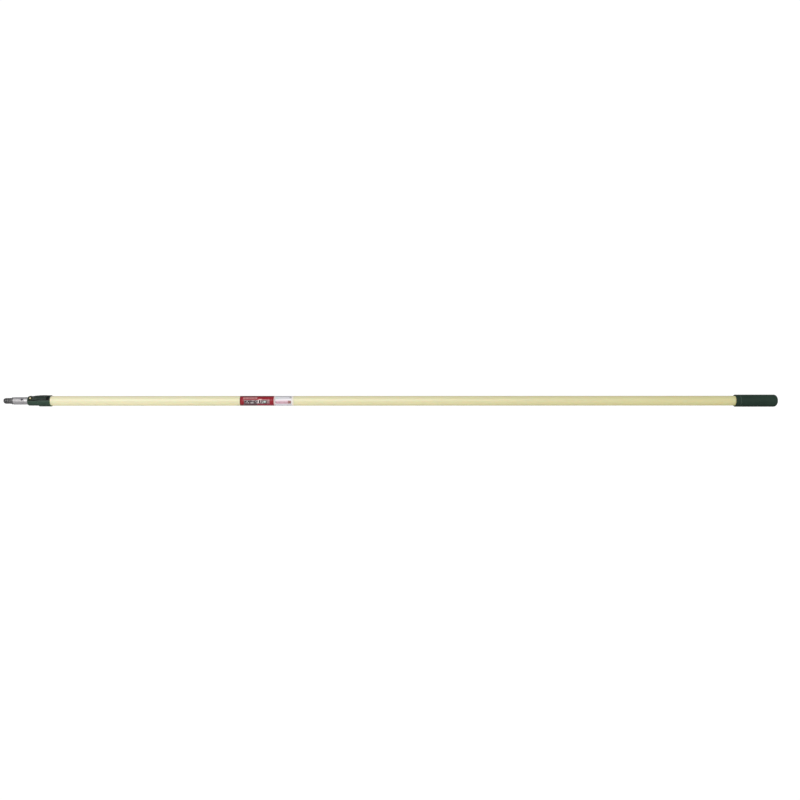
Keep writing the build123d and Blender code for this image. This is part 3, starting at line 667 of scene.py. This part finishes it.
def shade_smooth(bm, sharp):
    """Smooth faces, with the edges that bend by more than sharp degrees left sharp."""
    for edge in bm.edges:
        edge.smooth = not (len(edge.link_faces) == 2 and edge.calc_face_angle(0) > math.radians(sharp))
    for face in bm.faces:
        face.smooth = True


def new_object(name, bm, material, body, slot, *replaced):
    """A piece that rides on a body, with the given material, in place of the CAD nodes that are named; slot
    is not used.
    """
    bmesh.ops.recalc_face_normals(bm, faces=bm.faces)
    shade_smooth(bm, 32)
    mesh = bpy.data.meshes.new(name)
    bm.to_mesh(mesh)
    bm.free()
    obj = bpy.data.objects.new(name, mesh)
    mesh.materials.append(material)
    bpy.context.scene.collection.objects.link(obj)
    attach(obj, body)
    if replaced:
        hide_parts(*replaced)
    return obj


def lathe(outline, segments=128):
    """Closed (x, radius) outline in millimetres, turned about the pole's axis."""
    bm = bmesh.new()
    rings = []
    for i in range(segments):
        turn = 2 * math.pi * i / segments
        rings.append([bm.verts.new((x * MM, r * math.cos(turn) * MM, r * math.sin(turn) * MM))
                      for x, r in outline])
    for ring, following in zip(rings, rings[1:] + rings[:1]):
        for k in range(len(outline)):
            j = (k + 1) % len(outline)
            bm.faces.new((ring[k], ring[j], following[j], following[k]))
    return bm


def tube_outline(x0, x1, r_in, r_out, edge, stations):
    """A tube's wall with rounded rims and extra rings along its length."""
    outer = [(x0 + edge + (x1 - x0 - 2 * edge) * k / stations, r_out) for k in range(stations + 1)]
    inner = [(x, r_in) for x, _ in reversed(outer)]
    return [(x0, r_in + edge), (x0, r_out - edge), *outer, (x1, r_out - edge), (x1, r_in + edge), *inner]


def outer_tube():
    low, high = (c / MM for c in (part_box("outer_tube")[0][0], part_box("outer_tube")[1][0]))
    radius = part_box("outer_tube")[1][2] / MM
    bm = lathe(tube_outline(low, high, OUTER_BORE, radius, 0.25, 24))
    new_object("fibreglass_tube", bm, LOOKS["cream_fibreglass"], "pole", "cream_fibreglass", "outer_tube")


def cutter(bm):
    """A shape to cut with, which doesn't stay in the scene."""
    mesh = bpy.data.meshes.new("cutter")
    bm.to_mesh(mesh)
    bm.free()
    obj = bpy.data.objects.new("cutter", mesh)
    bpy.context.scene.collection.objects.link(obj)
    return obj


def add_cone(bm, segments, r0, r1, bottom, top, x):
    """A cone or cylinder that points up, with its ends at two heights."""
    made = bmesh.ops.create_cone(bm, cap_ends=True, segments=segments, radius1=r0 * MM, radius2=r1 * MM,
                                 depth=(top - bottom) * MM)
    bmesh.ops.translate(bm, verts=made["verts"], vec=(x * MM, 0, (bottom + top) / 2 * MM))
    return made["verts"]


def inner_tube():
    """Aluminium tube with its lock holes on top, two rivet sinks, and a key groove underneath."""
    low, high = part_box("inner_tube")
    x0, x1, radius = low[0] / MM, high[0] / MM, high[1] / MM
    outline = tube_outline(x0, x1, radius - INNER_WALL, radius, 0.2, 16)
    obj = new_object("aluminium_tube", lathe(outline, 96),
                     LOOKS["bare_aluminium"], "inner_pole", "bare_aluminium", "inner_tube")
    holes = bmesh.new()
    for n in range(LOCK_HOLES):
        add_cone(holes, 32, LOCK_HOLE_R, LOCK_HOLE_R, radius - 4, radius + 4, LOCK_HOLE_X + HOLE_STEP * n)
    for angle in RIVET_ANGLES:
        turn = Matrix.Rotation(math.radians(90.0 - angle), 3, "X")
        for bottom, top, r0, r1 in RIVET_HOLES:
            made = add_cone(holes, 32, r0, r1, bottom, top, RIVET_X)
            bmesh.ops.rotate(holes, verts=made, cent=(0, 0, 0), matrix=turn)
    groove = bmesh.ops.create_cube(holes, size=1.0)
    tall = 2.6
    bmesh.ops.scale(holes, verts=groove["verts"], vec=((x1 - x0 + 10) * MM, GROOVE_WIDTH * MM, tall * MM))
    bmesh.ops.translate(holes, verts=groove["verts"],
                        vec=((x0 + x1) / 2 * MM, 0, (-radius + GROOVE_DEPTH - tall / 2) * MM))
    tool = cutter(holes)
    boolean = obj.modifiers.new("holes", "BOOLEAN")
    boolean.object = tool
    boolean.operation = "DIFFERENCE"
    boolean.solver = "EXACT"
    deps = bpy.context.evaluated_depsgraph_get()
    cut = bpy.data.meshes.new_from_object(obj.evaluated_get(deps))
    obj.modifiers.clear()
    obj.data = cut
    bpy.data.objects.remove(tool)
    bm = bmesh.new()
    bm.from_mesh(cut)
    shade_smooth(bm, 30)
    bm.to_mesh(cut)
    bm.free()


def wrapped_film(name, node, material, slot, seam):
    """A printed film wound once round the tube, its last edge lapped over its first."""
    low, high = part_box(node)
    x0, x1, radius = low[0] / MM, high[0] / MM, high[1] / MM
    around, along = 144, 12
    bm = bmesh.new()
    rows = []
    for i in range(around + 1):
        turn = 360.0 * i / around
        rise = max(0.0, (turn - 360.0 + LAP) / LAP)
        r = radius - FILM + FILM * min(1.0, rise * 2)
        angle = math.radians(seam + turn + (1.2 if i == around else 0.0))
        rows.append([bm.verts.new(((x0 + (x1 - x0) * k / along) * MM, -r * math.cos(angle) * MM,
                                   r * math.sin(angle) * MM)) for k in range(along + 1)])
    for a, b in zip(rows, rows[1:]):
        for k in range(along):
            bm.faces.new((a[k], a[k + 1], b[k + 1], b[k]))
    obj = new_object(name, bm, material, "pole", slot, node)
    thick = obj.modifiers.new("thickness", "SOLIDIFY")
    thick.thickness = FILM * MM
    thick.offset = -1.0


def bending_spring(node_name, first_x, step):
    """A spring strip, cut across at twelve places every step from first_x, in place of its CAD node."""
    node = NODES[node_name]
    bm = bmesh.new()
    bm.from_mesh(node.data)
    bm.transform(node.matrix_world)
    for n in range(12):
        bmesh.ops.bisect_plane(bm, geom=bm.verts[:] + bm.edges[:] + bm.faces[:], dist=1e-7,
                               plane_co=((first_x + step * n) * MM, 0, 0), plane_no=(1, 0, 0))
    mesh = bpy.data.meshes.new("bending_" + node_name)
    bm.to_mesh(mesh)
    bm.free()
    mesh.materials.append(LOOKS["spring_steel"])
    obj = bpy.data.objects.new("bending_" + node_name, mesh)
    bpy.context.scene.collection.objects.link(obj)
    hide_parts(node_name)
    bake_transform(obj)


outer_tube()
inner_tube()
BEND_START, BEND_END = 62.6, 64.8          # X in mm, behind the screw's head
bending_spring("return_spring", BEND_START, 0.6)
bending_spring("tip_button_spring", 16.2, 1.0)
red_low, red_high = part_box("red_label")
white_low, white_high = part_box("white_label")
label_radius = red_high[1] / MM
RED_SEAM, WHITE_SEAM = 171.0, 176.0        # degrees round the tube, at the back
wrapped_film("red_label_film", "red_label",
             red_label_material(red_low[0] / MM, label_radius), "red_film", RED_SEAM)
wrapped_film("white_label_film", "white_label",
             white_label_material(white_low[0] / MM, label_radius), "white_film", WHITE_SEAM)
